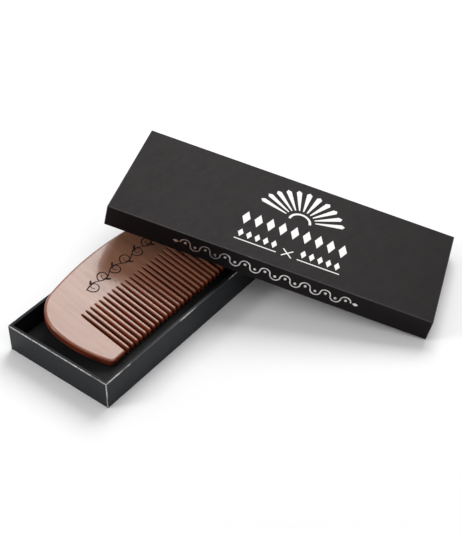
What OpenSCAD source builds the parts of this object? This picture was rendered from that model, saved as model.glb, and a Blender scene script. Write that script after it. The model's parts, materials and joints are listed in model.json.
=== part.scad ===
// Wooden beard comb in a two-piece card presentation box: a tray, the comb lying in it with
// its back over the far rim, and the lid leaning across the tray's near right corner.
// Units are millimetres. +X runs along the tray, +Y away from its near long side, +Z up.
// The origin is the middle of the tray's underside.

/* [Tray] */
// Outside length of the tray
tray_l = 180; // [150:1:240]
// Outside width of the tray
tray_w = 69; // [56:1:90]
// Outside height of the tray
tray_h = 17; // [13:0.5:26]
// Thickness of the loose insert card on the tray's floor
insert_t = 3; // [1.5:0.1:4]
// Gap round the edge of the insert card
insert_gap = 0.4; // [0.2:0.1:1]

/* [Card and paper] */
// Thickness of the grey board
board_t = 1.5; // [1:0.1:2.2]
// Thickness of the black covering paper
paper_t = 0.25; // [0.15:0.05:0.4]
// Thickness of the lining paper
liner_t = 0.2; // [0.1:0.05:0.4]
// Thickness of the tape on the board's corners
stay_t = 0.1; // [0.05:0.01:0.12]
// Reach of the corner tape along each wall
stay_w = 12; // [6:1:20]

/* [Lid] */
// Outside height of the lid
lid_h = 13.5; // [9:0.5:20]
// Gap between the closed lid and the tray, each side
lid_gap = 0.2; // [0.1:0.05:1]
// Angle that the lid leans at, about its own width
lid_tip = 12; // [10:0.5:15]
// Angle between the lid's length and the tray's length
lid_turn = 68.5; // [60:0.5:80]
// Distance from the tray's right end to where the lid's far wall crosses the near rim
lid_set_in = 1; // [0:0.5:10]

/* [Print on the lid] */
// Thickness of the white print
print_t = 0.05; // [0.03:0.01:0.1]
// Distance of the emblem from the lid's middle, towards its right end
emblem_shift_x = 7; // [0:0.5:20]
// Number of rays in the emblem's fan
ray_n = 11; // [5:2:13]
// Inner radius of the rays
ray_in = 9; // [8:0.5:12]
// Outer radius of the rays
ray_out = 26; // [18:0.5:26]
// Width of a ray where it is widest
ray_w = 3.2; // [1.5:0.1:3.6]
// Angle that the fan's outer rays rise at
ray_rise = 18; // [12:1:30]
// Outer radius of the half ring under the rays
hub_r = 6.6; // [4:0.1:7.5]
// Number of diamonds in the emblem's curved row
gem_n = 9; // [5:2:9]
// Distance from one diamond of that row to the next
gem_pitch = 7; // [5:0.1:7.4]
// Height of a diamond of that row
gem_h = 11; // [7:0.5:11.5]
// Length of each of the two rules under the row
rule_l = 24; // [16:1:26]
// Height of the small diamonds over the rules
small_h = 6.5; // [4:0.5:7]
// Length of the cross's two strokes, between the rules
cross_l = 8; // [5:0.5:9]
// Thickness of the print's lines
line_t = 0.7; // [0.4:0.1:1]
// Distance from the lid's left end to the first ring of the scroll on its side
scroll_start = 46; // [10:1:50]
// Number of half rings in the scroll
scroll_n = 17; // [5:2:17]
// Outer radius of a half ring
scroll_r = 3.2; // [2:0.1:3.3]
// Radius of the bead inside a half ring
bead_r = 0.8; // [0.5:0.1:1]

/* [Comb] */
// Length of the comb
comb_l = 116; // [95:1:130]
// Width of the comb, from tooth tips to back
comb_w = 58; // [48:1:66]
// Thickness of the comb
comb_t = 5; // [3.5:0.5:7]
// Radius of the back's long curve
back_r = 210; // [150:5:400]
// Radius of the shoulders
shoulder_r = 22; // [12:1:26]
// Radius of the bulging ends
end_r = 64; // [50:1:90]
// Height of the widest place above the tooth tips
waist_y = 30; // [20:1:34]
// Radius of the outer corners of the guard teeth
corner_r = 3; // [1:0.5:5]
// Depth of the rounding round the comb's outer edge
edge_r = 1.6; // [0.5:0.1:1.7]
// Least width of the flat end of a guard tooth
guard_w = 8; // [5:0.5:14]
// Distance from one slot to the next
slot_pitch = 3.45; // [3:0.05:3.6]
// Length of the slots
slot_l = 32; // [24:1:36]
// Width of a slot at its pointed root
slot_root_w = 0.6; // [0.4:0.1:0.8]
// Width of a slot where its root taper ends
slot_mid_w = 1.4; // [1:0.1:1.6]
// Width of a slot at the tooth tips
slot_tip_w = 1.9; // [1.6:0.1:2]
// Length of the taper at a slot's root
root_taper = 7; // [3:0.5:12]
// Radius of the tooth tips
tooth_r = 0.7; // [0.3:0.1:0.8]
// Length of the comb's back that lies past the inner edge of the tray's far rim
comb_reach = 3.2; // [2.2:0.1:12]
// Least gap between the tooth tips and the tray's near wall
comb_tip_gap = 2; // [1:0.5:5]
// Gap between the comb's left end and the tray's left wall
comb_end_gap = 9.3; // [2:0.1:15]

/* [Hidden] */
// Gap left between two bodies where one rests on the other
rest_gap = 0.3;
// Length that a cutting solid runs past the face it cuts
over = 1;
// Whole thickness of a covered wall: paper, board, paper
wall_t = board_t + 2 * paper_t;
// Height of the tray's lined floor, and of the insert's top
floor_z = paper_t + board_t + liner_t;
seat_z = floor_z + insert_t;
// Outside length and width of the lid
lid_l = tray_l + 2 * (wall_t + lid_gap);
lid_w = tray_w + 2 * (wall_t + lid_gap);
// Height of the underside of the lid's top board
lid_in_h = lid_h - paper_t - board_t;

// Places of the emblem's three parts across the lid, from its middle
fan_y = 4;
row_y = -6.5;
rule_y = -26;
// Width of a diamond as a share of its place in a row
gem_wide = 0.68;

// Lean of the comb: its tips stand on the insert and its back lies on the far rim.
// comb_run is the length of the comb from its tips to the rim's inner edge.
rim_y = tray_w - wall_t;
comb_rise = tray_h - seat_z;
comb_run = min(comb_w - comb_reach, norm([rim_y - wall_t - comb_tip_gap, comb_rise]));
comb_lean = asin(comb_rise / comb_run);
comb_tip_y = rim_y - comb_run * cos(comb_lean);
comb_mid_x = wall_t + comb_end_gap + comb_l / 2;

// Place of the lid: the end of its rim stands on the table, and the rim of its far wall
// crosses the tray's near rim. lid_run is the length of that wall beyond the crossing.
lid_z = rest_gap + lid_l * sin(lid_tip);
lid_run = (lid_z - tray_h - rest_gap) / sin(lid_tip);
lid_x = tray_l - lid_set_in - lid_w * sin(lid_turn) - lid_run * cos(lid_turn) * cos(lid_tip);
lid_y = lid_run * sin(lid_turn) * cos(lid_tip) - lid_w * cos(lid_turn);

// Places a solid drawn from the tray's near left bottom corner
module in_tray() {
    translate([-tray_l / 2, -tray_w / 2, 0]) children();
}

// Places a solid drawn from the near left corner of the lid's rim
module in_lid() {
    in_tray()
        translate([lid_x, lid_y, lid_z])
            rotate([0, lid_tip, -lid_turn])
                children();
}

// Places a solid drawn from the middle of the comb's tooth tips, on its underside
module in_comb() {
    in_tray()
        translate([comb_mid_x, comb_tip_y, seat_z + rest_gap])
            rotate([comb_lean, 0, 0])
                children();
}

// Box of a length and width from inset d, between heights z0 and z1
module block(l, w, d, z0, z1) {
    translate([d, d, z0]) cube([l - 2 * d, w - 2 * d, z1 - z0]);
}

// Flat board of a tray, from inset d
module floor_board(l, w, z0) {
    block(l, w, paper_t, z0, z0 + board_t);
}

// Long wall board, near or far by its y
module long_board(l, y, z0, z1) {
    translate([paper_t, y, z0]) cube([l - 2 * paper_t, board_t, z1 - z0]);
}

// End wall board between the long boards, left or right by its x
module end_board(w, x, z0, z1) {
    translate([x, paper_t + board_t, z0])
        cube([board_t, w - 2 * (paper_t + board_t), z1 - z0]);
}

// Four strips of tape, one round each upright corner of the boards
module corner_stays(l, w, z0, z1) {
    d = paper_t - stay_t;
    reach = stay_w + paper_t;
    intersection() {
        difference() {
            block(l, w, d, z0, z1);
            block(l, w, paper_t, z0 - over, z1 + over);
        }
        for (x = [0, l - reach], y = [0, w - reach])
            translate([x, y, z0]) cube([reach, reach, z1 - z0]);
    }
}

// Paper folded over the rim at height z1 and down the inside to zi, outside from z0
module side_paper(l, w, z0, zi, z1) {
    difference() {
        block(l, w, 0, z0, z1);
        block(l, w, wall_t, z0 - over, z1 + over);
        difference() {
            block(l, w, paper_t, z0 - over, z1 - paper_t);
            block(l, w, paper_t + board_t, zi, z1);
        }
    }
}

// ---------------------------------------------------------------- tray

module tray_floor_board() {
    color([0.55, 0.53, 0.5]) in_tray() floor_board(tray_l, tray_w, paper_t);
}

module tray_front_board() {
    color([0.55, 0.53, 0.5])
        in_tray() long_board(tray_l, paper_t, paper_t + board_t, tray_h - paper_t);
}

module tray_back_board() {
    color([0.55, 0.53, 0.5])
        in_tray()
            long_board(tray_l, tray_w - paper_t - board_t, paper_t + board_t, tray_h - paper_t);
}

module tray_left_board() {
    color([0.55, 0.53, 0.5])
        in_tray() end_board(tray_w, paper_t, paper_t + board_t, tray_h - paper_t);
}

module tray_right_board() {
    color([0.55, 0.53, 0.5])
        in_tray()
            end_board(tray_w, tray_l - paper_t - board_t, paper_t + board_t, tray_h - paper_t);
}

module tray_corner_stays() {
    color([0.72, 0.6, 0.42])
        in_tray() corner_stays(tray_l, tray_w, paper_t, tray_h - paper_t);
}

module tray_wrap() {
    color([0.1, 0.1, 0.11])
        difference() {
            in_tray() side_paper(tray_l, tray_w, paper_t, paper_t + board_t, tray_h);
            tray_corner_stays();
        }
}

module tray_base_sheet() {
    color([0.1, 0.1, 0.11]) in_tray() block(tray_l, tray_w, 0, 0, paper_t);
}

module tray_liner() {
    color([0.08, 0.08, 0.08])
        in_tray() block(tray_l, tray_w, wall_t, paper_t + board_t, floor_z);
}

module tray_insert() {
    color([0.06, 0.06, 0.06])
        in_tray() block(tray_l, tray_w, wall_t + insert_gap, floor_z, seat_z);
}

// ---------------------------------------------------------------- lid

module lid_top_board() {
    color([0.55, 0.53, 0.5]) in_lid() floor_board(lid_l, lid_w, lid_in_h);
}

module lid_front_board() {
    color([0.55, 0.53, 0.5]) in_lid() long_board(lid_l, paper_t, paper_t, lid_in_h);
}

module lid_back_board() {
    color([0.55, 0.53, 0.5])
        in_lid() long_board(lid_l, lid_w - paper_t - board_t, paper_t, lid_in_h);
}

module lid_left_board() {
    color([0.55, 0.53, 0.5]) in_lid() end_board(lid_w, paper_t, paper_t, lid_in_h);
}

module lid_right_board() {
    color([0.55, 0.53, 0.5])
        in_lid() end_board(lid_w, lid_l - paper_t - board_t, paper_t, lid_in_h);
}

module lid_corner_stays() {
    color([0.72, 0.6, 0.42]) in_lid() corner_stays(lid_l, lid_w, paper_t, lid_h - paper_t);
}

module lid_wrap() {
    color([0.16, 0.15, 0.16])
        difference() {
            in_lid()
                union() {
                    translate([0, 0, lid_h])
                        mirror([0, 0, 1])
                            side_paper(lid_l, lid_w, paper_t, paper_t + board_t, lid_h);
                    block(lid_l, lid_w, 0, lid_h - paper_t, lid_h);
                }
            lid_corner_stays();
        }
}

module lid_liner() {
    color([0.08, 0.08, 0.08])
        in_lid() block(lid_l, lid_w, wall_t, lid_in_h - liner_t, lid_in_h);
}

// Diamond of full width w and height h
module diamond(w, h) {
    polygon([[w / 2, 0], [0, h / 2], [-w / 2, 0], [0, -h / 2]]);
}

// Upper half of a ring of outer radius r and thickness t
module half_ring(r, t) {
    difference() {
        circle(r = r);
        circle(r = r - t);
        translate([-r - over, -r - over]) square([2 * (r + over), r + over]);
    }
}

// Fan of rays over a half ring
module fan_shape() {
    ray_tip = ray_w / 2;
    ray_root = line_t / 2;
    for (i = [0 : ray_n - 1])
        rotate(ray_rise + (180 - 2 * ray_rise) * i / (ray_n - 1))
            polygon([
                [ray_in, -ray_root], [ray_out - ray_tip, -ray_tip], [ray_out, 0],
                [ray_out - ray_tip, ray_tip], [ray_in, ray_root]
            ]);
    half_ring(hub_r, 2 * line_t);
}

// Row of diamonds that bends down a little towards its ends
module gem_row() {
    row_drop = 1.1;
    half_n = (gem_n - 1) / 2;
    for (k = [-half_n : half_n])
        translate([k * gem_pitch, -row_drop * pow(k / half_n, 2)])
            diamond(gem_wide * gem_pitch, gem_h);
}

// Two rules with a row of small diamonds over each and a cross between them
module rule_row() {
    small_n = 5;
    small_gap = 1.5;
    small_pitch = rule_l / small_n;
    small_y = line_t + small_gap + small_h / 2;
    rule_start = 0.75 * cross_l;
    mid = rule_start + rule_l / 2;
    for (s = [-1, 1])
        translate([s * mid, 0]) {
            translate([-rule_l / 2, -line_t / 2]) square([rule_l, line_t]);
            for (i = [0 : small_n - 1])
                translate([(i - (small_n - 1) / 2) * small_pitch, small_y])
                    diamond(gem_wide * small_pitch, small_h);
        }
    for (a = [45, 135])
        translate([0, cross_l / 4]) rotate(a) square([cross_l, line_t], center = true);
}

// Plain ornament: the fan, the curved row and the rules, one under another
module emblem_shape() {
    translate([0, fan_y]) fan_shape();
    translate([0, row_y]) gem_row();
    translate([0, rule_y]) rule_row();
}

module lid_emblem() {
    color([0.95, 0.95, 0.95])
        in_lid()
            translate([lid_l / 2 + emblem_shift_x, lid_w / 2, lid_h])
                linear_extrude(print_t) emblem_shape();
}

// Scroll along the lid's near wall: half rings that run up and down in turn, with a bead
// in each, between two diamonds
module scroll_shape() {
    pitch = 2 * scroll_r - line_t;
    end_w = 3.4;
    end_h = 2.2;
    end_gap = 0.5;
    end_x = scroll_r + end_gap + end_w / 2;
    for (i = [0 : scroll_n - 1])
        translate([i * pitch, 0])
            mirror([0, i % 2, 0]) {
                half_ring(scroll_r, line_t);
                translate([0, bead_r / 2]) circle(r = bead_r);
            }
    for (x = [-end_x, (scroll_n - 1) * pitch + end_x])
        translate([x, 0]) diamond(end_w, end_h);
}

module lid_scroll() {
    color([0.9, 0.9, 0.9])
        in_lid()
            translate([scroll_start, 0, lid_h / 2])
                rotate([90, 0, 0])
                    linear_extrude(print_t) scroll_shape();
}

// ---------------------------------------------------------------- comb

// Centres of the outline's arcs on the right half: back, end, shoulder and guard corner
back_c = [0, comb_w - back_r];
end_c = [comb_l / 2 - end_r, waist_y];
span = norm(end_c - back_c);
span_a = atan2(end_c[1] - back_c[1], end_c[0] - back_c[0]);
back_d = back_r - shoulder_r;
end_d = end_r - shoulder_r;
bend_a = acos((span * span + back_d * back_d - end_d * end_d) / (2 * span * back_d));
shoulder_a = span_a - bend_a;
shoulder_c = back_c + back_d * [cos(shoulder_a), sin(shoulder_a)];
end_a = atan2(shoulder_c[1] - end_c[1], shoulder_c[0] - end_c[0]);
corner_d = end_r - corner_r;
corner_a = -asin((waist_y - corner_r) / corner_d);
corner_c = end_c + corner_d * [cos(corner_a), sin(corner_a)];
// Number of slots that fit between the guard teeth, and the radius of the tooth tips,
// whose width less a small flat limits it
slot_n = 1 + floor((2 * (corner_c[0] - guard_w) - slot_tip_w) / slot_pitch);
tip_flat = 0.1;
tip_r = min(tooth_r, (slot_pitch - slot_tip_w - tip_flat) / 2);

// Points along an arc of radius r about c, from angle a0 to a1
function arc(c, r, a0, a1, n) =
    [for (i = [0 : n]) let (a = a0 + (a1 - a0) * i / n) c + r * [cos(a), sin(a)]];

// List without its first point, which the arc before it already holds
function past_first(points) = [for (i = [1 : len(points) - 1]) points[i]];

// Least radius that an inset corner keeps
least_r = 0.2;

// Right half of the outline from the back's middle to the tooth tips, inset by d
function half_outline(d) = concat(
    arc(back_c, back_r - d, 90, shoulder_a, 12),
    past_first(arc(shoulder_c, shoulder_r - d, shoulder_a, end_a, 14)),
    past_first(arc(end_c, end_r - d, end_a, corner_a, 14)),
    past_first(arc(corner_c, max(corner_r - d, least_r), corner_a, -90, 6))
);

// Whole outline inset by d, as a closed ring of points at height z
function ring(d, z) =
    let (right = half_outline(d), n = len(right))
    concat(
        [for (i = [0 : n - 1]) [right[i][0], right[i][1], z]],
        [for (i = [n - 1 : -1 : 1]) [-right[i][0], right[i][1], z]]
    );

// Blank with its outer edge rounded top and bottom: rings of points from the underside up
module comb_blank() {
    steps = 4;
    low = [for (k = [0 : steps]) let (a = 90 * (1 - k / steps))
        ring(edge_r * (1 - cos(a)), edge_r * (1 - sin(a)))];
    high = [for (k = [0 : steps]) let (a = 90 * k / steps)
        ring(edge_r * (1 - cos(a)), comb_t - edge_r * (1 - sin(a)))];
    rings = concat(low, high);
    n = len(rings[0]);
    last = len(rings) - 1;
    polyhedron(
        points = [for (r = rings) each r],
        faces = concat(
            [[for (i = [n - 1 : -1 : 0]) i]],
            [[for (i = [0 : n - 1]) last * n + i]],
            [for (k = [0 : last - 1], i = [0 : n - 1])
                let (j = (i + 1) % n)
                [k * n + i, k * n + j, (k + 1) * n + j, (k + 1) * n + i]]
        )
    );
}

// Slot between two teeth, with a tapered root and a flared mouth that rounds the tooth tips
module slot() {
    root = arc([0, slot_l], slot_root_w / 2, 0, 180, 8);
    mouth = slot_tip_w / 2 + tip_r;
    right = arc([mouth, tip_r], tip_r, 270, 180, 5);
    left = arc([-mouth, tip_r], tip_r, 0, -90, 5);
    bend = slot_l - root_taper;
    polygon(concat(
        [[-mouth, -over], [mouth, -over]], right, [[slot_mid_w / 2, bend]],
        root, [[-slot_mid_w / 2, bend]], left
    ));
}

module comb() {
    color([0.8, 0.64, 0.55])
        in_comb()
            difference() {
                comb_blank();
                for (i = [0 : slot_n - 1])
                    translate([(i - (slot_n - 1) / 2) * slot_pitch, 0, -over])
                        linear_extrude(comb_t + 2 * over) slot();
            }
}

comb();
tray_floor_board();
tray_front_board();
tray_back_board();
tray_left_board();
tray_right_board();
tray_corner_stays();
tray_wrap();
tray_base_sheet();
tray_liner();
tray_insert();
lid_top_board();
lid_front_board();
lid_back_board();
lid_left_board();
lid_right_board();
lid_corner_stays();
lid_wrap();
lid_liner();
lid_emblem();
lid_scroll();
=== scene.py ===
"""Looks for a wooden beard comb lying in its two-piece black card box.

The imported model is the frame: boards, tape, lining and print keep their solids and get a
finish. The comb, both paper coverings, the insert card and the raw paper edges are modelled
here in more detail. Sizes are metres.
"""

import json
import logging
import math
from dataclasses import dataclass
from enum import Enum
from typing import Callable, Optional, Sequence

import bpy
from mathutils import Matrix, Vector

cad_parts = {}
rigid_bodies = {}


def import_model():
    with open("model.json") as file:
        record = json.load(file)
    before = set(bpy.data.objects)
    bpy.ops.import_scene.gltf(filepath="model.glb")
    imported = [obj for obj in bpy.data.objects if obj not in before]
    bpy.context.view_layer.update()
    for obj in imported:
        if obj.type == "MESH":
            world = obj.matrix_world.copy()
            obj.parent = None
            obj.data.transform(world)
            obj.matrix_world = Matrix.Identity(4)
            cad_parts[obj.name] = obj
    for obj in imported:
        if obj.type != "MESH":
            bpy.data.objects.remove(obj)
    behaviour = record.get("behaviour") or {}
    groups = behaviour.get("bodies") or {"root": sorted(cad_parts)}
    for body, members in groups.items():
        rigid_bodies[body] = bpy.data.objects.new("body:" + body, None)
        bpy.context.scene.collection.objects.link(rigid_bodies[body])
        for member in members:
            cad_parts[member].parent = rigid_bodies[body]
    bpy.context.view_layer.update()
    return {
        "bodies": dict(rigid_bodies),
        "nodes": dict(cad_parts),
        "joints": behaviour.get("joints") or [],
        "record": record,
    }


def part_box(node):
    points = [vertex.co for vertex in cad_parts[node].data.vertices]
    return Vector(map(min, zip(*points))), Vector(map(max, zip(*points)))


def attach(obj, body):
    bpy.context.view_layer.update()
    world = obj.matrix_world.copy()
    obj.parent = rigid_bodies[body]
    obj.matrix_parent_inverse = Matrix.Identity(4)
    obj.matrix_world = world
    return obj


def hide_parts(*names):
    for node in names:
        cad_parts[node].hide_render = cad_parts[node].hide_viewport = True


MM = 0.001
LOG = logging.getLogger("comb_box")
PairTest = Callable[[Vector, Vector], bool]
Colour = tuple[float, float, float, float]
Spot = tuple[float, float, float]
Span = tuple[float, float]
Arc = tuple[Vector, float, int]
# Parts of a cloudy pattern's range: nearly all of it, and a tighter one with more contrast
MIDDLE: Span = (0.3, 0.7)
INNER: Span = (0.35, 0.65)
# Turn between two faces, in degrees, past which the edge between them is rounded
SHARP = 50


class Body(Enum):
    """Bodies of the model that a piece can move with."""

    TRAY = "tray"
    LID = "lid"
    COMB = "comb"


class Slot(Enum):
    """Material slots of the record. A covering stores one, but its finish is made here and passed in.
    """

    WOOD = "comb_wood"
    TRAY_PAPER = "tray_paper"
    LID_PAPER = "lid_paper"
    INSERT = "insert_card"


class Grade(Enum):
    """Octaves of a cloudy pattern, and the weight of its fine ones."""

    FAINT = (2, 0.55)
    SOFT = (2, 0.5)
    ROLLING = (3, 0.5)
    EVEN = (3, 0.55)
    BROKEN = (3, 0.6)
    BANDED = (4, 0.6)
    FIBROUS = (4, 0.65)


# ------------------------------------------------------------------ bench work


class Bench:
    """Edit-mode moves that every piece is made with."""

    @staticmethod
    def clear() -> None:
        """Leaves object mode ready, with nothing selected."""
        if bpy.context.object and bpy.context.object.mode != "OBJECT":
            bpy.ops.object.mode_set(mode="OBJECT")
        bpy.ops.object.select_all(action="DESELECT")

    @staticmethod
    def take(piece: bpy.types.Object) -> None:
        """Makes a piece the only one selected, and active.

        Args:
            piece: The piece to work on.
        """
        Bench.clear()
        piece.select_set(True)
        bpy.context.view_layer.objects.active = piece

    @staticmethod
    def block(name: str, low: Sequence[float], high: Sequence[float]) -> bpy.types.Object:
        """Starts a piece from a cube between two corners.

        Args:
            name: Name of the piece.
            low: Lowest corner.
            high: Highest corner.

        Returns:
            The new piece, with its place in its mesh.
        """
        Bench.clear()
        middle = [(a + b) / 2 for a, b in zip(low, high)]
        bpy.ops.mesh.primitive_cube_add(size=1, location=middle)
        piece = bpy.context.object
        piece.name = name
        piece.scale = [b - a for a, b in zip(low, high)]
        Bench.settle(piece)
        return piece

    @staticmethod
    def settle(piece: bpy.types.Object) -> None:
        """Moves a piece's place, turn and size into its mesh.

        Args:
            piece: The piece to settle.
        """
        Bench.take(piece)
        bpy.ops.object.transform_apply(location=True, rotation=True, scale=True)

    @staticmethod
    def put(piece: bpy.types.Object, where: Matrix) -> None:
        """Places a finished piece and settles it.

        Args:
            piece: The piece to place.
            where: Its place and turn.
        """
        piece.matrix_world = where @ piece.matrix_world
        Bench.settle(piece)

    @staticmethod
    def edit(piece: bpy.types.Object, mode: str = "FACE", select: bool = False) -> None:
        """Opens edit mode with nothing or everything selected.

        Args:
            piece: The piece to open.
            mode: VERT, EDGE or FACE.
            select: Whether everything is selected.
        """
        Bench.take(piece)
        bpy.ops.object.mode_set(mode="EDIT")
        bpy.ops.mesh.select_mode(type=mode)
        bpy.ops.mesh.select_all(action="SELECT" if select else "DESELECT")

    @staticmethod
    def faces(piece: bpy.types.Object, test: PairTest) -> None:
        """Opens edit mode with the faces that pass a test selected.

        Args:
            piece: The piece to open.
            test: Takes a face's middle and normal.
        """
        Bench.edit(piece, "FACE")
        bpy.ops.object.mode_set(mode="OBJECT")
        for face in piece.data.polygons:
            face.select = bool(test(face.center, face.normal))
        bpy.ops.object.mode_set(mode="EDIT")

    @staticmethod
    def edges(piece: bpy.types.Object, test: PairTest) -> None:
        """Opens edit mode with the edges that pass a test selected.

        Args:
            piece: The piece to open.
            test: Takes an edge's two ends.
        """
        Bench.edit(piece, "EDGE")
        bpy.ops.object.mode_set(mode="OBJECT")
        spots = piece.data.vertices
        for edge in piece.data.edges:
            a, b = (spots[i].co for i in edge.vertices)
            edge.select = bool(test(a, b))
        bpy.ops.object.mode_set(mode="EDIT")

    @staticmethod
    def push(shift: Sequence[float]) -> None:
        """Extrudes what is selected.

        Args:
            shift: How far it goes.
        """
        bpy.ops.mesh.extrude_region_move(TRANSFORM_OT_translate={"value": shift})

    @staticmethod
    def slices(
        piece: bpy.types.Object, axis: int, low: Sequence[float], high: Sequence[float], count: int
    ) -> None:
        """Scores even rings round a piece along one axis.

        Args:
            piece: The piece to score.
            axis: 0, 1 or 2 for x, y or z.
            low: Its lowest corner.
            high: Its highest corner.
            count: How many slices the rings part it into.
        """
        toward = [float(axis == i) for i in range(3)]
        for cut in range(1, count):
            Bench.edit(piece, select=True)
            level = low[axis] + (high[axis] - low[axis]) * cut / count
            bpy.ops.mesh.bisect(plane_co=[level * way for way in toward], plane_no=toward)
            Bench.done(piece)

    @staticmethod
    def done(piece: bpy.types.Object, smooth: Optional[float] = None) -> None:
        """Closes edit mode, and shades the piece smooth up to an angle if one is given.

        Args:
            piece: The piece to close.
            smooth: Angle in degrees past which an edge stays crisp.
        """
        if piece.mode != "OBJECT":
            bpy.ops.object.mode_set(mode="OBJECT")
        if smooth is not None:
            Bench.take(piece)
            bpy.ops.object.shade_smooth_by_angle(angle=math.radians(smooth))
            Bench.modify(piece, "WEIGHTED_NORMAL", keep_sharp=True, weight=100)

    @staticmethod
    def modify(piece: bpy.types.Object, kind: str, **settings: object) -> None:
        """Adds a modifier with its settings and applies it.

        Args:
            piece: The piece to change.
            kind: Blender's name for the modifier.
            **settings: The modifier's own settings.
        """
        Bench.take(piece)
        change = piece.modifiers.new(kind.lower(), kind)
        for key, value in settings.items():
            setattr(change, key, value)
        bpy.ops.object.modifier_apply(modifier=change.name)


# ------------------------------------------------------------------ finishes


class Weave:
    """Short hand for joining shader nodes in one material."""

    # A mix node's own numbers for its share, two colours and mixed colour
    SHARE, FIRST, SECOND, MIXED = 0, 6, 7, 2

    def __init__(self, name: str) -> None:
        """Starts a material with a bare surface shader.

        Args:
            name: Name of the material.
        """
        self.material = bpy.data.materials.new(name)
        self.material.use_nodes = True
        self.tree = self.material.node_tree
        self.shader = self.tree.nodes["Principled BSDF"]
        self.spot = self.tree.nodes.new("ShaderNodeTexCoord").outputs["Object"]

    def node(self, kind: str, feeds: Optional[dict] = None, **settings: object) -> bpy.types.Node:
        """Adds a node.

        Args:
            kind: The node's type, without its ShaderNode prefix.
            feeds: Input name or number to a value or to another node's output.
            **settings: The node's own settings.

        Returns:
            The node.
        """
        made = self.tree.nodes.new("ShaderNode" + kind)
        for key, value in settings.items():
            setattr(made, key, value)
        for key, value in (feeds or {}).items():
            self.feed(made.inputs[key], value)
        return made

    def feed(self, socket: bpy.types.NodeSocket, value: object) -> None:
        """Links an output to a socket, or sets the socket's own value.

        Args:
            socket: The input to feed.
            value: An output, a number or a colour.
        """
        if isinstance(value, bpy.types.NodeSocket):
            self.tree.links.new(value, socket)
        else:
            socket.default_value = value

    def turned(self, frame: Matrix) -> bpy.types.NodeSocket:
        """Gives coordinates in a piece's own frame.

        Args:
            frame: The piece's place and turn.

        Returns:
            The coordinates.
        """
        back = frame.inverted()
        feeds = {"Vector": self.spot, "Location": back.to_translation(), "Rotation": back.to_euler()}
        return self.node("Mapping", feeds).outputs[0]

    def drawn(self, spot: bpy.types.NodeSocket, scale: Spot) -> bpy.types.NodeSocket:
        """Draws coordinates out or in along their axes.

        Args:
            spot: The coordinates.
            scale: Share of each axis.

        Returns:
            The drawn coordinates.
        """
        return self.node("Mapping", {"Vector": spot, "Scale": scale}).outputs[0]

    def noise(
        self, spot: bpy.types.NodeSocket, scale: float, grade: Grade = Grade.EVEN
    ) -> bpy.types.NodeSocket:
        """Adds a cloudy pattern.

        Args:
            spot: Where it is read.
            scale: Repeats per metre.
            grade: Its octaves.

        Returns:
            The pattern, from 0 to 1.
        """
        detail, rough = grade.value
        feeds = {"Vector": spot, "Scale": scale, "Detail": detail, "Roughness": rough}
        return self.node("TexNoise", feeds).outputs["Fac"]

    def ranged(
        self, value: bpy.types.NodeSocket, span: Span, to: Span = (0.0, 1.0)
    ) -> bpy.types.NodeSocket:
        """Maps a range on to another and clamps it.

        Args:
            value: The value to map.
            span: Values that become the two ends of the other range.
            to: The other range.

        Returns:
            The mapped value.
        """
        feeds = {0: value, 1: span[0], 2: span[1], 3: to[0], 4: to[1]}
        return self.node("MapRange", feeds, clamp=True).outputs[0]

    def mix(self, share: object, a: object, b: object) -> bpy.types.NodeSocket:
        """Mixes two colours.

        Args:
            share: How much of b.
            a: First colour or output.
            b: Second colour or output.

        Returns:
            The mixed colour.
        """
        made = self.tree.nodes.new("ShaderNodeMix")
        made.data_type = "RGBA"
        self.feed(made.inputs[self.SHARE], share)
        self.feed(made.inputs[self.FIRST], a)
        self.feed(made.inputs[self.SECOND], b)
        return made.outputs[self.MIXED]

    def maths(self, what: str, a: object, b: object = 0.0) -> bpy.types.NodeSocket:
        """Adds a sum.

        Args:
            what: Blender's name for it.
            a: First value or output.
            b: Second value or output.

        Returns:
            The result.
        """
        return self.node("Math", {0: a, 1: b}, operation=what).outputs[0]

    def bump(self, height: bpy.types.NodeSocket, depth: float, strength: float = 0.5) -> None:
        """Adds relief to the surface.

        Args:
            height: The relief's height.
            depth: Its depth in metres.
            strength: How strongly it shades.
        """
        made = self.node("Bump", {"Height": height, "Distance": depth, "Strength": strength})
        self.feed(self.shader.inputs["Normal"], made.outputs[0])

    def surface(self, **sockets: object) -> bpy.types.Material:
        """Feeds the shader's sockets and gives the material.

        Args:
            **sockets: Socket names with underscores for spaces.

        Returns:
            The finished material.
        """
        for key, value in sockets.items():
            self.feed(self.shader.inputs[key.replace("_", " ")], value)
        return self.material


def tone(r: float, g: float, b: float) -> Colour:
    """Gives a linear colour from display values.

    Args:
        r: Red, from 0 to 255.
        g: Green, from 0 to 255.
        b: Blue, from 0 to 255.

    Returns:
        The colour, with full alpha.
    """

    def linear(v: float) -> float:
        """Turns one display value linear."""
        c = v / 255
        return c / 12.92 if c <= 0.04045 else ((c + 0.055) / 1.055) ** 2.4

    return (linear(r), linear(g), linear(b), 1.0)


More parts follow.
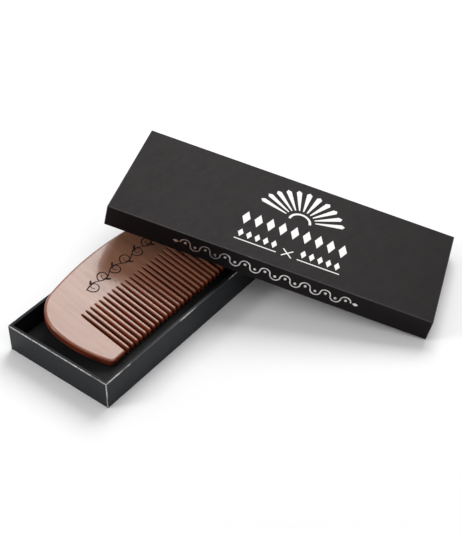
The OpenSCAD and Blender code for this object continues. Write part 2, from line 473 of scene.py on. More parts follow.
@dataclass(frozen=True)
class CombWood:
    """Sanded, oiled brown wood: light faces, and warmer, darker edges and slot walls, whose darkness is
    painted shade over the wood's own warmer edge tone.
    """

    pale: Colour = tone(158, 114, 91)
    deep: Colour = tone(143, 98, 76)
    # Edge and streak colour the edges and slot walls: painted shade over the wood's own warmer tone.
    # Edge also tints the face's fibre flecks.
    edge: Colour = tone(154, 72, 44)
    shaded_streak: Colour = tone(110, 47, 27)
    gloss: Span = (0.27, 0.38)
    gloss_span: Span = (0.3, 0.75)
    coat: float = 0.5
    coat_gloss: Span = (0.08, 0.15)
    along_grain: Spot = (1.0, 0.075, 1.0)
    band_scale: float = 210
    band_span: Span = (0.36, 0.66)
    streak_span: Span = (0.4, 0.62)
    fibre_scale: float = 1500
    fibre_span: Span = (0.56, 0.72)
    fibre_share: float = 0.34
    cloud_scale: float = 42
    cloud_span: Span = (0.35, 0.7)
    cloud_share: float = 0.35
    # Depth below each broad face where the wood turns to the painted-shade colour of its edges, and how
    # ragged that line is.
    rim_start: float = 0.42 * MM
    rim_end: float = 0.01 * MM
    rim_fray: float = 0.12 * MM
    relief: float = 0.06 * MM
    relief_share: float = 0.35
    band_relief: float = 0.5

    def make(self, frame: Matrix, thick: float) -> bpy.types.Material:
        """Makes the material.

        Args:
            frame: The comb's place and turn.
            thick: The comb's thickness.

        Returns:
            The material.
        """
        w = Weave("comb_wood_sanded")
        own = w.turned(frame)
        grain = w.drawn(own, self.along_grain)
        bands = w.noise(grain, self.band_scale, Grade.BANDED)
        fibre = w.noise(grain, self.fibre_scale, Grade.BROKEN)
        cloud = w.noise(own, self.cloud_scale, Grade.SOFT)
        face = w.mix(w.ranged(bands, self.band_span), self.pale, self.deep)
        face = w.mix(w.ranged(cloud, self.cloud_span, (0, self.cloud_share)), face, self.deep)
        face = w.mix(w.ranged(fibre, self.fibre_span, (0, self.fibre_share)), face, self.edge)
        # Edges and slot walls take a darker, warmer copy of the wood as painted shade; the mask below
        # is 1 on the broad faces and 0 on the edges and slot walls.
        side = w.mix(w.ranged(bands, self.streak_span), self.edge, self.shaded_streak)
        height = w.node("SeparateXYZ", {0: own}).outputs[2]
        off_middle = w.maths("ABSOLUTE", w.maths("SUBTRACT", height, thick / 2))
        frayed = w.maths("ADD", off_middle, w.maths("MULTIPLY", bands, self.rim_fray))
        face_vs_painted_shade = w.ranged(frayed, (thick / 2 - self.rim_start, thick / 2 - self.rim_end))
        raised = w.maths("ADD", w.maths("MULTIPLY", bands, self.band_relief), fibre)
        w.bump(raised, self.relief, self.relief_share)
        return w.surface(
            Base_Color=w.mix(face_vs_painted_shade, side, face),
            Roughness=w.ranged(fibre, self.gloss_span, self.gloss),
            Coat_Weight=self.coat,
            Coat_Roughness=w.ranged(cloud, MIDDLE, self.coat_gloss),
        )


@dataclass(frozen=True)
class BurntWood:
    """Dark brown floor of an engraved line."""

    dark: Colour = tone(48, 22, 15)
    soot: Colour = tone(26, 12, 9)
    gloss: Span = (0.7, 0.9)
    patch_scale: float = 1600
    relief: float = 0.08 * MM

    def make(self) -> bpy.types.Material:
        """Makes the material."""
        w = Weave("engraved_line")
        patch = w.noise(w.spot, self.patch_scale)
        w.bump(patch, self.relief)
        return w.surface(
            Base_Color=w.mix(w.ranged(patch, INNER), self.dark, self.soot),
            Roughness=w.ranged(patch, MIDDLE, self.gloss),
        )


@dataclass(frozen=True)
class CoveringPaper:
    """Matt coated paper over board: a fine fibre relief, soft clouding and a few scuffs."""

    name: str
    base: Colour = tone(11, 12, 15)
    cloud: Colour = tone(14, 15, 19)
    scuff: Colour = tone(30, 31, 36)
    sheen: float = 0.27
    tint: Colour = (0.9, 0.95, 1.0, 1.0)
    gloss: Span = (0.44, 0.5)
    gloss_span: Span = (0.34, 0.66)
    fibre_scale: float = 2600
    wave_scale: float = 60
    wave_span: Span = (0.35, 0.68)
    wave_relief: float = 2.2
    fleck_scale: float = 800
    fleck_span: Span = (0.68, 0.78)
    fleck_share: float = 0.55
    mottle_scale: float = 420
    mottle_share: float = 0.5
    rub_scale: float = 90
    rub_drawn: Spot = (1.0, 3.0, 1.0)
    relief: float = 0.035 * MM
    relief_share: float = 0.4

    def make(self) -> bpy.types.Material:
        """Makes the material."""
        w = Weave(self.name)
        fibre = w.noise(w.spot, self.fibre_scale, Grade.FIBROUS)
        wave = w.noise(w.spot, self.wave_scale, Grade.ROLLING)
        fleck = w.noise(w.spot, self.fleck_scale, Grade.SOFT)
        mottle = w.noise(w.spot, self.mottle_scale, Grade.BROKEN)
        rub = w.noise(w.drawn(w.spot, self.rub_drawn), self.rub_scale)
        colour = w.mix(w.ranged(wave, self.wave_span), self.base, self.cloud)
        colour = w.mix(w.ranged(fleck, self.fleck_span, (0, self.fleck_share)), colour, self.scuff)
        raised = w.maths("ADD", w.maths("MULTIPLY", wave, self.wave_relief), fibre)
        w.bump(raised, self.relief, self.relief_share)
        return w.surface(
            Base_Color=colour,
            Roughness=w.ranged(w.mix(self.mottle_share, rub, mottle), self.gloss_span, self.gloss),
            Specular_IOR_Level=self.sheen,
            Specular_Tint=self.tint,
        )


@dataclass(frozen=True)
class WornFold:
    """Fold of a black paper where the coat has cracked to the pale fibres under it."""

    name: str
    coat: Colour
    rubbed: Colour
    core: Colour
    bare: float
    bare_blend: float = 0.06
    # Near one point the fold turns paler and more broken, fading out with distance.
    paler_near: Spot = (0.0, 0.0, 0.0)
    paler_extra: float = 0.0
    paler_reach: Span = (22.5 * MM, 75 * MM)
    run_scale: float = 55
    run_span: Span = (0.32, 0.6)
    crack_scale: float = 1400
    crack_span: Span = (0.4, 0.6)
    patchy: Span = (0.2, 1.0)
    gloss: Span = (0.3, 0.5)
    relief: float = 0.05 * MM

    def make(self) -> bpy.types.Material:
        """Makes the material."""
        w = Weave(self.name)
        # Paler and more broken near one point, fading out with distance from it.
        ends = {0: w.spot, 1: self.paler_near}
        away = w.node("VectorMath", ends, operation="DISTANCE").outputs["Value"]
        more = w.ranged(away, self.paler_reach, (self.paler_extra, 0))
        run = w.maths("ADD", w.noise(w.spot, self.run_scale, Grade.BROKEN), more)
        crack = w.noise(w.spot, self.crack_scale, Grade.BROKEN)
        rubbed = w.mix(w.ranged(run, self.run_span, self.patchy), self.coat, self.rubbed)
        bare = w.ranged(run, (self.bare - self.bare_blend, self.bare + self.bare_blend))
        broken = w.maths("MULTIPLY", bare, w.ranged(crack, self.crack_span, self.patchy))
        w.bump(crack, self.relief)
        return w.surface(
            Base_Color=w.mix(broken, rubbed, self.core),
            Roughness=w.ranged(crack, MIDDLE, self.gloss),
        )


@dataclass(frozen=True)
class FoilInk:
    """Thin silver foil pressed on the paper, a little dull where the paper shows its grain."""

    bright: Colour = tone(232, 230, 228)
    dull: Colour = tone(190, 187, 184)
    metal: Span = (0.95, 0.8)
    gloss: Span = (0.22, 0.34)
    grain_scale: float = 2400
    patch_scale: float = 300
    relief: float = 0.02 * MM
    relief_share: float = 0.3

    def make(self) -> bpy.types.Material:
        """Makes the material."""
        w = Weave("silver_foil")
        grain = w.noise(w.spot, self.grain_scale)
        patch = w.noise(w.spot, self.patch_scale, Grade.FAINT)
        w.bump(grain, self.relief, self.relief_share)
        return w.surface(
            Base_Color=w.mix(w.ranged(patch, INNER), self.bright, self.dull),
            Metallic=w.ranged(grain, MIDDLE, self.metal),
            Roughness=w.ranged(grain, MIDDLE, self.gloss),
        )


@dataclass(frozen=True)
class PlainStock:
    """Uncoated stock, such as board, tape, lining, card, ink or a paper's raw edge."""

    name: str
    base: Colour
    fleck: Colour
    grain: float = 900
    relief: float = 0.05 * MM
    gloss: Span = (0.7, 0.92)
    fibre_span: Span = (0.42, 0.68)
    cloud_span: Span = (0.3, 0.75)
    cloud_share: float = 0.4
    cloud_size: float = 14

    def make(self) -> bpy.types.Material:
        """Makes the material."""
        w = Weave(self.name)
        fibre = w.noise(w.spot, self.grain, Grade.FIBROUS)
        cloud = w.noise(w.spot, self.grain / self.cloud_size, Grade.SOFT)
        colour = w.mix(w.ranged(fibre, self.fibre_span), self.base, self.fleck)
        colour = w.mix(w.ranged(cloud, self.cloud_span, (0, self.cloud_share)), colour, self.fleck)
        w.bump(fibre, self.relief)
        return w.surface(Base_Color=colour, Roughness=w.ranged(fibre, MIDDLE, self.gloss))


def finish_node(name: str, material: bpy.types.Material, frame: dict) -> None:
    """Gives a kept node its finish.

    Args:
        name: The node.
        material: Its finish.
    """
    piece = frame["nodes"][name]
    for place in piece.material_slots:
        place.material = material
    if not piece.material_slots:
        piece.data.materials.append(material)
    LOG.info("%s keeps its solid and gets %s", name, material.name)


# ------------------------------------------------------------------ card boxes


@dataclass
class CoveredBox:
    """Half of the box: an open board tray covered with folded black paper."""

    name: str
    body: Body
    node: str
    slot: Slot
    length: float
    width: float
    height: float
    place: Matrix
    face_up: bool
    wall: float = 2.0 * MM
    paper: float = 0.25 * MM
    board: float = 1.5 * MM
    fold: float = 0.42 * MM
    fold_steps: int = 4
    fold_sharp: float = 40
    crisp: float = 32
    edge_proud: float = 0.03 * MM
    edge_sunk: float = 0.2 * MM
    edge_inset: float = 0.16 * MM
    edge_broad: float = 0.3 * MM
    edge_low: float = 0.5 * MM
    edge_short: float = 0.45 * MM
    edge_slices: int = 12
    edge_round: float = 0.02 * MM
    swell: float = 0.28
    swell_run: float = 1900
    swell_shift: float = 900

    def build(self, paper: bpy.types.Material, worn: bpy.types.Material) -> bpy.types.Object:
        """Makes the paper covering as one folded skin.

        Args:
            paper: Finish of its flat faces.
            worn: Finish of its folds.

        Returns:
            The covering.
        """
        base = self.paper if self.face_up else 0.0
        cover = Bench.block(self.name, (0, 0, base), (self.length, self.width, self.height))
        cover.data.materials.append(paper)
        cover.data.materials.append(worn)
        Bench.faces(cover, lambda middle, normal: normal.z > 0.5)
        bpy.ops.mesh.inset(thickness=self.wall, depth=0)
        Bench.push((0, 0, self.paper + self.board - self.height))
        bpy.ops.mesh.delete(type="FACE")
        if self.face_up:
            Bench.faces(cover, lambda middle, normal: normal.z < -0.5)
            bpy.ops.mesh.delete(type="FACE")
        Bench.done(cover)
        self.round_folds(cover)
        Bench.modify(cover, "SOLIDIFY", thickness=self.paper, offset=-1, use_even_offset=True)
        Bench.done(cover, self.crisp)
        self.lay(cover)
        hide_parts(self.node)
        return cover

    def lay(self, piece: bpy.types.Object) -> None:
        """Turns a piece over if this half lies face down, and lays it in its place.

        Args:
            piece: The piece, as it stands open side up.
        """
        if not self.face_up:
            over = Matrix.Rotation(math.pi, 4, "X")
            Bench.put(piece, Matrix.Translation((0, self.width, self.height)) @ over)
        Bench.put(piece, self.place)
        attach(piece, self.body.value)

    def round_folds(self, cover: bpy.types.Object) -> None:
        """Rounds the paper's folds, and keeps the wear to the outer ones.

        Args:
            cover: The covering.
        """
        Bench.modify(
            cover, "BEVEL", width=self.fold, segments=self.fold_steps, limit_method="ANGLE",
            angle_limit=math.radians(self.fold_sharp), material=1, loop_slide=False,
        )
        rim = self.wall - self.fold
        for face in cover.data.polygons:
            x, y = face.center.x, face.center.y
            if rim < x < self.length - rim and rim < y < self.width - rim:
                face.material_index = 0

    def raw_edges(self, core: bpy.types.Material) -> bpy.types.Object:
        """Makes the raw edges of the paper that show as thin lines up the four corners.

        Args:
            core: Finish of a raw paper edge.

        Returns:
            The four edges as one piece.
        """
        inner = self.edge_inset + self.edge_broad
        top = self.height - self.edge_short
        parts = []
        for x, out in ((0.0, -1), (self.length, 1)):
            for y, along in ((0.0, 1), (self.width, -1)):
                y0, y1 = sorted((y + along * self.edge_inset, y + along * inner))
                x0, x1 = sorted((x + out * self.edge_proud, x - out * self.edge_sunk))
                name = f"{self.name}_edge_{len(parts)}"
                parts.append(self.strip(name, (x0, y0, self.edge_low), (x1, y1, top)))
        Bench.take(parts[0])
        for part in parts[1:]:
            part.select_set(True)
        bpy.ops.object.join()
        strips = bpy.context.object
        strips.name = self.name + "_raw_edges"
        strips.data.materials.append(core)
        self.lay(strips)
        return strips

    def strip(self, name: str, low: Sequence[float], high: Sequence[float]) -> bpy.types.Object:
        """Makes one raw edge that swells and thins a little along its height.

        Args:
            name: Name of the edge.
            low: Its lowest corner.
            high: Its highest corner.

        Returns:
            The edge.
        """
        part = Bench.block(name, low, high)
        Bench.slices(part, 2, low, high, self.edge_slices)
        middle = (low[1] + high[1]) / 2
        for spot in part.data.vertices:
            wave = math.sin(spot.co.z * self.swell_run + middle * self.swell_shift)
            spot.co.y = middle + (spot.co.y - middle) * (1 - self.swell + self.swell * wave)
        Bench.modify(part, "BEVEL", width=self.edge_round, segments=2, limit_method="ANGLE")
        return part


@dataclass
class InsertCard:
    """Loose black card on the tray's floor."""

    edge: float = 0.35 * MM
    slices: int = 10
    crisp: float = 35

    def build(self, card: bpy.types.Material) -> bpy.types.Object:
        """Makes the card, with its edges rounded a little.

        Args:
            card: Its finish.

        Returns:
            The card.
        """
        low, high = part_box("tray_insert")
        pad = Bench.block("insert_card_pad", low, high)
        for axis in (0, 1):
            Bench.slices(pad, axis, low, high, self.slices)
        Bench.modify(
            pad, "BEVEL", width=self.edge, segments=3, limit_method="ANGLE",
            angle_limit=math.radians(SHARP),
        )
        Bench.done(pad, self.crisp)
        pad.data.materials.append(card)
        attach(pad, Body.TRAY.value)
        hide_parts("tray_insert")
        return pad


# ------------------------------------------------------------------ the comb


@dataclass(frozen=True)
class Vine:
    """Engraved vine on the comb's upper face: a wavy stem, with a curl and a leaf in each wave."""

    face: float
    length: float = 64 * MM
    middle: Span = (6 * MM, 41.8 * MM)
    waves: int = 7
    swing: float = 1.7 * MM
    end_swing: float = 0.15
    end_pace: float = 5
    line_r: float = 0.43 * MM
    stem_steps: int = 168
    stem_thin: float = 0.55
    curl_from: float = 0.42
    curl_hub: Span = (0.25 * MM, 2.1 * MM)
    curl_turn: float = math.radians(460)
    curl_in: float = 0.78
    curl_pace: float = 0.7
    curl_steps: int = 26
    curl_thick: Span = (0.9, 0.45)
    leaf_off: Span = (0.9 * MM, 1.15 * MM)
    leaf_size: Spot = (1.7 * MM, 0.62 * MM, 0.32 * MM)
    leaf_turn: float = math.radians(38)
    leaf_steps: tuple[int, int] = (20, 10)

    def stroke(self, name: str, points: Sequence[Vector], thick: Sequence[float]) -> bpy.types.Object:
        """Makes a round engraving tool that follows points on the upper face.

        Args:
            name: Name of the tool.
            points: Places along the stroke, in the comb's plane.
            thick: Share of the full radius at each place.

        Returns:
            The tool.
        """
        path = bpy.data.curves.new(name, "CURVE")
        path.dimensions = "3D"
        line = path.splines.new("POLY")
        line.points.add(len(points) - 1)
        for point, at, share in zip(line.points, points, thick):
            point.co = (at.x, at.y, self.face, 1)
            point.radius = share
        path.bevel_depth = self.line_r
        path.bevel_resolution = 2
        path.use_fill_caps = True
        Bench.clear()
        tool = bpy.data.objects.new(name, path)
        bpy.context.collection.objects.link(tool)
        Bench.take(tool)
        bpy.ops.object.convert(target="MESH")
        return bpy.context.object

    def at(self, t: float) -> Vector:
        """Gives a place on the stem.

        Args:
            t: Share of the stem's length, from the left.

        Returns:
            The place, in the comb's plane.
        """
        swell = min(1.0, self.end_pace * t + self.end_swing, self.end_pace * (1 - t) + self.end_swing)
        y = self.swing * swell * math.sin(math.pi * self.waves * t)
        return Vector((self.middle[0] + (t - 0.5) * self.length, self.middle[1] + y))

    def stem(self) -> bpy.types.Object:
        """Makes the tool for the wavy stem, thinner where it crosses its middle line."""
        ts = [i / self.stem_steps for i in range(self.stem_steps + 1)]
        fuller = 1 - self.stem_thin
        thick = [self.stem_thin + fuller * abs(math.sin(math.pi * self.waves * t)) for t in ts]
        return self.stroke("stem_tool", [self.at(t) for t in ts], thick)

    def curl(self, index: int) -> bpy.types.Object:
        """Makes the tool for a curl that leaves the stem into one of its waves.

        Args:
            index: Which wave, from the left.

        Returns:
            The tool.
        """
        side = -1 if index % 2 == 0 else 1
        t = (index + 0.5) / self.waves
        root = self.at(t - self.curl_from / self.waves)
        hub = self.at(t) + Vector((self.curl_hub[0], side * self.curl_hub[1]))
        reach = (root - hub).length
        start = math.atan2(root.y - hub.y, root.x - hub.x)
        first, last = self.curl_thick
        points, thick = [], []
        for i in range(self.curl_steps + 1):
            u = i / self.curl_steps
            a = start - side * u * self.curl_turn
            r = reach * (1 - self.curl_in * u**self.curl_pace)
            points.append(hub + Vector((math.cos(a), math.sin(a))) * r)
            thick.append(first + (last - first) * u)
        return self.stroke(f"curl_tool_{index}", points, thick)

    def leaf(self, index: int) -> bpy.types.Object:
        """Makes the tool for one leaf on the outside of a wave.

        Args:
            index: Which wave, from the left.

        Returns:
            The tool.
        """
        side = 1 if index % 2 == 0 else -1
        off = Vector((self.leaf_off[0], side * self.leaf_off[1]))
        at = self.at((index + 0.5) / self.waves) + off
        Bench.clear()
        round_steps, rings = self.leaf_steps
        bpy.ops.mesh.primitive_uv_sphere_add(segments=round_steps, ring_count=rings, radius=1)
        tool = bpy.context.object
        tool.name = f"leaf_tool_{index}"
        tool.scale = self.leaf_size
        Bench.settle(tool)
        turn = Matrix.Rotation(side * self.leaf_turn, 4, "Z")
        Bench.put(tool, Matrix.Translation((at.x, at.y, self.face)) @ turn)
        return tool

    def tools(self) -> list[bpy.types.Object]:
        """Makes every tool: the stem's, then each wave's curl and leaf."""
        tools = [self.stem()]
        for index in range(self.waves):
            tools += [self.curl(index), self.leaf(index)]
        return tools


@dataclass
class Comb:
    """Flat wooden comb with a D-shaped back, bulging ends and 24 sawn slots."""

    place: Matrix
    length: float = 116 * MM
    width: float = 58 * MM
    thick: float = 5 * MM
    back_r: float = 210 * MM
    shoulder_r: float = 22 * MM
    end_r: float = 64 * MM
    waist: float = 30 * MM
    corner_r: float = 3 * MM
    edge_r: float = 1.6 * MM
    edge_steps: int = 6
    arc_steps: int = 26
    corner_steps: int = 10
    weld: float = 0.01 * MM
    slots: int = 24
    pitch: float = 3.45 * MM
    slot_l: float = 32 * MM
    root_w: float = 0.6 * MM
    root_nose: float = 0.4
    mid_w: float = 1.4 * MM
    mid_ease: float = 0.1 * MM
    tip_w: float = 1.9 * MM
    tip_r: float = 0.7 * MM
    tip_steps: int = 5
    taper: float = 7 * MM
    saw_over: float = 1 * MM
    saw_start: float = 2 * MM
    soften: float = 0.62 * MM
    crisp: float = 38

    def arcs(self) -> list[Arc]:
        """Works out the outline's arcs on the right half, from the back to the tooth tips.

        Returns:
            Each arc's centre, angle and number of steps.
        """
        back = Vector((0, self.width - self.back_r))
        end = Vector((self.length / 2 - self.end_r, self.waist))
        span = (end - back).length
        to_end = math.atan2(end.y - back.y, end.x - back.x)
        near, far = self.back_r - self.shoulder_r, self.end_r - self.shoulder_r
        bend = math.acos((span**2 + near**2 - far**2) / (2 * span * near))
        first = to_end - bend
        shoulder = back + near * Vector((math.cos(first), math.sin(first)))
        second = math.atan2(shoulder.y - end.y, shoulder.x - end.x)
        reach = self.end_r - self.corner_r
        third = -math.asin((self.waist - self.corner_r) / reach)
        corner = end + reach * Vector((math.cos(third), math.sin(third)))
        return [
            (back, math.pi / 2 - first, self.arc_steps),
            (shoulder, first - second, self.arc_steps),
            (end, second - third, self.arc_steps),
            (corner, third + math.pi / 2, self.corner_steps),
        ]

    def blank(self) -> bpy.types.Object:
        """Spins the outline, fills it and rounds its edge.

        Returns:
            The comb before its slots are sawn.
        """
        Bench.clear()
        bpy.ops.mesh.primitive_plane_add(size=MM, location=(0, self.width, 0))
        comb = bpy.context.object
        comb.name = "comb_body"
        Bench.settle(comb)
        Bench.edit(comb, "VERT", select=True)
        bpy.ops.mesh.merge(type="CENTER")
        for centre, angle, steps in self.arcs():
            bpy.ops.mesh.spin(
                steps=steps, angle=angle, center=(centre.x, centre.y, 0), axis=(0, 0, 1)
            )
        Bench.done(comb)
        Bench.modify(comb, "MIRROR", use_axis=(True, False, False), merge_threshold=self.weld)
        Bench.edit(comb, "VERT", select=True)
        bpy.ops.mesh.remove_doubles(threshold=self.weld)
        bpy.ops.mesh.edge_face_add()
        Bench.push((0, 0, self.thick))
        bpy.ops.mesh.select_all(action="SELECT")
        bpy.ops.mesh.normals_make_consistent(inside=False)
        Bench.edges(comb, lambda a, b: abs(a.z - b.z) < self.weld)
        bpy.ops.mesh.bevel(
            offset=self.edge_r, segments=self.edge_steps, profile=0.5, affect="EDGES"
        )
        Bench.done(comb)
        return comb

    def stations(self) -> list[Span]:
        """Lists the saw cut's widths, from outside the mouth to the nose of its root.

        Returns:
            How far from the tooth tips, and how wide, at each place.
        """
        mouth = self.tip_w + 2 * self.tip_r
        places = [(-self.saw_start, mouth), (0.0, mouth)]
        for step in range(1, self.tip_steps + 1):
            a = math.pi / 2 * step / self.tip_steps
            into, off = self.tip_r * (1 - math.cos(a)), self.tip_r * math.sin(a)
            places.append((into, mouth - 2 * off))
        between = (self.mid_w + self.root_w) / 2 + self.mid_ease
        return places + [
            (self.slot_l - self.taper, self.mid_w),
            (self.slot_l - self.taper / 3, between),
            (self.slot_l, self.root_w),
            (self.slot_l + self.root_w / 2, self.root_w * self.root_nose),
        ]

    def saw(self) -> bpy.types.Object:
        """Makes the row of saw cuts as one cutter.

        Returns:
            The cutter.
        """
        first = -(self.slots - 1) / 2 * self.pitch
        places = self.stations()
        y0, w0 = places[0]
        y1, w1 = places[1]
        low = (first - w0 / 2, y0, -self.saw_over)
        high = (first + w0 / 2, y1, self.thick + self.saw_over)
        cut = Bench.block("saw_cut", low, high)
        Bench.faces(cut, lambda middle, normal: normal.y > 0.5)
        for y, w in places[2:]:
            Bench.push((0, y - y1, 0))
            bpy.ops.transform.resize(value=(w / w1, 1, 1), center_override=(first, y, 0))
            y1, w1 = y, w
        Bench.done(cut)
        Bench.modify(
            cut, "ARRAY", count=self.slots, use_relative_offset=False, use_constant_offset=True,
            constant_offset_displace=(self.pitch, 0, 0),
        )
        return cut

    def cut_slots(self, comb: bpy.types.Object) -> None:
        """Saws the slots and softens their edges.

        Args:
            comb: The blank.
        """
        cutter = self.saw()
        Bench.modify(comb, "BOOLEAN", operation="DIFFERENCE", object=cutter, solver="EXACT")
        bpy.data.objects.remove(cutter)
        Bench.modify(
            comb, "BEVEL", width=self.soften, segments=3, limit_method="ANGLE",
            angle_limit=math.radians(SHARP), use_clamp_overlap=False, loop_slide=True,
        )

    def engrave(self, comb: bpy.types.Object, burnt: bpy.types.Material) -> None:
        """Cuts the vine into the upper face.

        Args:
            comb: The comb.
            burnt: Finish of the engraved floor.
        """
        for tool in Vine(self.thick).tools():
            tool.data.materials.clear()
            tool.data.materials.append(burnt)
            Bench.modify(
                comb, "BOOLEAN", operation="DIFFERENCE", object=tool, solver="EXACT",
                material_mode="TRANSFER",
            )
            bpy.data.objects.remove(tool)

    def build(self, wood: bpy.types.Material, burnt: bpy.types.Material) -> bpy.types.Object:
        """Makes the comb and lays it in the tray.

        Args:
            wood: Finish of the wood.
            burnt: Finish of the engraving.

        Returns:
            The comb.
        """
        comb = self.blank()
        self.cut_slots(comb)
        comb.data.materials.clear()
        comb.data.materials.append(wood)
        self.engrave(comb, burnt)
        Bench.done(comb, self.crisp)
        Bench.put(comb, self.place)
        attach(comb, Body.COMB.value)
        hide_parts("comb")
        return comb


# ------------------------------------------------------------------ the set


@dataclass(frozen=True)
class Layout:
    """Sizes and places shared by the box's pieces, as the solids have them."""

    tray_l: float = 180 * MM
    tray_w: float = 69 * MM
    tray_h: float = 17 * MM
    lid_l: float = 184.4 * MM
    lid_w: float = 73.4 * MM
    lid_h: float = 13.5 * MM
    wall: float = 2.0 * MM
    seat: float = 4.95 * MM
    rest_gap: float = 0.3 * MM
    lid_tip: float = math.radians(12)
    lid_turn: float = math.radians(68.5)
    lid_set_in: float = 1 * MM
    comb_run: float = 54.8 * MM
    comb_mid: float = 69.3 * MM

    def tray_place(self) -> Matrix:
        """Gives the tray's near left bottom corner."""
        return Matrix.Translation((-self.tray_l / 2, -self.tray_w / 2, 0))

    def lid_place(self) -> Matrix:
        """Gives the lid's place: its rim's end on the table and its far wall on the tray's rim."""
        tip, turn = self.lid_tip, self.lid_turn
        z = self.rest_gap + self.lid_l * math.sin(tip)
        run = (z - self.tray_h - self.rest_gap) / math.sin(tip)
        x = self.tray_l - self.lid_set_in - self.lid_w * math.sin(turn)
        x -= run * math.cos(turn) * math.cos(tip)
        y = run * math.sin(turn) * math.cos(tip) - self.lid_w * math.cos(turn)
        spot = self.tray_place() @ Matrix.Translation((x, y, z))
        return spot @ Matrix.Rotation(-turn, 4, "Z") @ Matrix.Rotation(tip, 4, "Y")

    def comb_place(self) -> Matrix:
        """Gives the comb's place: its tips on the insert and its back on the tray's far rim."""
        lean = math.asin((self.tray_h - self.seat) / self.comb_run)
        tip_y = self.tray_w - self.wall - self.comb_run * math.cos(lean)
        spot = Matrix.Translation((self.comb_mid, tip_y, self.seat + self.rest_gap))
        return self.tray_place() @ spot @ Matrix.Rotation(lean, 4, "X")


@dataclass(frozen=True)
class Lamp:
    """Square soft light aimed at the box."""

    name: str
    at: Spot
    size: float
    watts: float
    aim: Spot = (0.0, -0.02, 0.0)

    def hang(self) -> None:
        """Adds the light to the stage."""
        data = bpy.data.lights.new(self.name, "AREA")
        data.shape = "SQUARE"
        data.size = self.size
        data.energy = self.watts
        lamp = bpy.data.objects.new(self.name, data)
        lamp.location = self.at
        way = Vector(self.aim) - Vector(self.at)
        lamp.rotation_euler = way.to_track_quat("-Z", "Y").to_euler()
        bpy.context.collection.objects.link(lamp)


@dataclass(frozen=True)
class Studio:
    """Pale floor, soft lights and the camera. Angles are degrees, lens sizes millimetres."""

    eye: Spot = (-0.3834, -0.3407, 0.4659)
    azimuth: float = 52.18
    drop: float = 41.45
    lens: float = 83.3471
    sensor: float = 36.0
    near: float = 0.01
    far: float = 20.0
    surround: float = 0.52
    floor_size: float = 8.0
    floor_drop: float = 0.2 * MM
    floor_tones: tuple[Colour, Colour] = (tone(250, 250, 251), tone(247, 247, 248))
    floor_gloss: Span = (0.7, 0.8)
    floor_clouds: float = 2.0
    lamps: tuple[Lamp, ...] = (
        Lamp("key", (0.78, 0.2, 0.98), 0.75, 10.5),
        Lamp("front", (-0.2, -0.85, 0.9), 0.6, 0.8),
        Lamp("rim", (-0.78, 0.56, 0.72), 0.3, 3.0),
    )

    def camera(self) -> None:
        """Adds the camera."""
        data = bpy.data.cameras.new("camera")
        data.sensor_fit = "VERTICAL"
        data.sensor_height = self.sensor
        data.lens = self.lens
        data.clip_start = self.near
        data.clip_end = self.far
        camera = bpy.data.objects.new("camera", data)
        camera.location = self.eye
        camera.rotation_euler = (math.radians(90 - self.drop), 0, -math.radians(self.azimuth))
        bpy.context.collection.objects.link(camera)
        bpy.context.scene.camera = camera

    def floor(self) -> None:
        """Adds the pale floor."""
        Bench.clear()
        bpy.ops.mesh.primitive_plane_add(size=self.floor_size, location=(0, 0, -self.floor_drop))
        floor = bpy.context.object
        floor.name = "floor"
        Bench.settle(floor)
        w = Weave("floor_white")
        cloud = w.noise(w.spot, self.floor_clouds, Grade.FAINT)
        white = w.surface(
            Base_Color=w.mix(w.ranged(cloud, MIDDLE), *self.floor_tones),
            Roughness=w.ranged(cloud, MIDDLE, self.floor_gloss),
        )
        floor.data.materials.append(white)

    def world(self) -> None:
        """Adds an even white surround."""
        world = bpy.data.worlds.new("surround")
        world.use_nodes = True
        shade = world.node_tree.nodes["Background"]
        shade.inputs[0].default_value = (1.0, 1.0, 1.0, 1.0)
        shade.inputs[1].default_value = self.surround
        bpy.context.scene.world = world

    def build(self) -> None:
        """Sets up the whole stage."""
        bpy.context.scene.view_settings.view_transform = "Standard"
        self.floor()
        self.world()
        self.camera()
        for lamp in self.lamps:
            lamp.hang()


def dress_kept(frame: dict) -> None:
    """Gives the boards, tape, linings, base sheet and prints their finishes.
    """
    board = PlainStock("grey_board_raw", tone(150, 145, 136), tone(112, 107, 99), 700, 0.08 * MM).make()
    tape = PlainStock("kraft_tape_raw", tone(184, 150, 110), tone(158, 124, 86), 500).make()
    lining = PlainStock("lining_paper_black", tone(20, 19, 20), tone(28, 27, 28), 1100).make()
    ink = PlainStock(
        "white_ink", tone(244, 243, 241), tone(226, 225, 224), 2200, 0.02 * MM, (0.45, 0.6)
    ).make()
    for half in ("tray", "lid"):
        for part in ("front", "back", "left", "right"):
            finish_node(f"{half}_{part}_board", board, frame)
        finish_node(f"{half}_corner_stays", tape, frame)
        finish_node(f"{half}_liner", lining, frame)
    finish_node("tray_floor_board", board, frame)
    finish_node("lid_top_board", board, frame)
    finish_node("tray_base_sheet", CoveringPaper("base_paper_black").make(), frame)
    finish_node("lid_emblem", ink, frame)
    finish_node("lid_scroll", FoilInk().make(), frame)


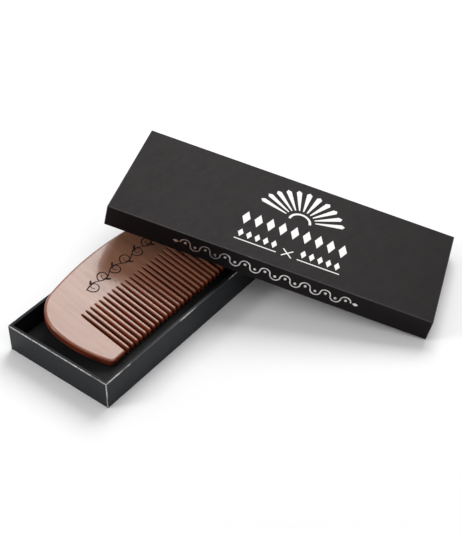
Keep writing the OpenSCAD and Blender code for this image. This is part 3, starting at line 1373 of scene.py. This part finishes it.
def cover_tray(layout: Layout) -> CoveredBox:
    """Builds the tray's covering.

    Args:
        layout: Sizes and places of the set.

    Returns:
        The tray's half of the box.
    """
    tray = CoveredBox(
        "tray_covering", Body.TRAY, "tray_wrap", Slot.TRAY_PAPER,
        layout.tray_l, layout.tray_w, layout.tray_h, layout.tray_place(), True,
    )
    # The fold is paler and more broken around a point on the top rim of the tray's -x end.
    left_rim = (-layout.tray_l / 2, 20 * MM, layout.tray_h)
    worn = WornFold(
        "tray_fold_worn", tone(18, 18, 21), tone(50, 50, 53), tone(218, 217, 215), 0.56,
        paler_near=left_rim, paler_extra=0.16,
    )
    log_piece(tray.build(CoveringPaper("tray_paper_black").make(), worn.make()))
    return tray


def cover_lid(layout: Layout) -> CoveredBox:
    """Builds the lid's covering.

    Args:
        layout: Sizes and places of the set.

    Returns:
        The lid's half of the box.
    """
    lid = CoveredBox(
        "lid_covering", Body.LID, "lid_wrap", Slot.LID_PAPER,
        layout.lid_l, layout.lid_w, layout.lid_h, layout.lid_place(), False,
    )
    paper = CoveringPaper(
        "lid_paper_black", tone(15, 11, 12), tone(18, 14, 15), tone(30, 26, 27),
        sheen=0.11, tint=(1.0, 0.88, 0.9, 1.0),
    )
    worn = WornFold("lid_fold_worn", tone(16, 13, 14), tone(34, 31, 32), tone(104, 101, 100), 0.68)
    log_piece(lid.build(paper.make(), worn.make()))
    return lid


def log_piece(piece: bpy.types.Object) -> None:
    """Logs a finished piece and how many faces it has.

    Args:
        piece: The piece.
    """
    LOG.info("%s has %d faces", piece.name, len(piece.data.polygons))


def main() -> None:
    """Builds every piece in order and reports each one."""
    logging.basicConfig(level=logging.INFO, format="%(name)s: %(message)s")
    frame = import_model()
    layout = Layout()
    Studio().build()
    dress_kept(frame)

    core = PlainStock("paper_raw_edge", tone(214, 213, 210), tone(150, 149, 148), 1500).make()
    for cover in (cover_tray, cover_lid):
        half = cover(layout)
        log_piece(half.raw_edges(core))

    card = PlainStock("insert_card_black", tone(13, 13, 12), tone(20, 20, 19), 1300, 0.06 * MM)
    log_piece(InsertCard().build(card.make()))

    comb = Comb(layout.comb_place())
    wood = CombWood().make(comb.place, comb.thick)
    log_piece(comb.build(wood, BurntWood().make()))


if __name__ == "__main__":
    main()
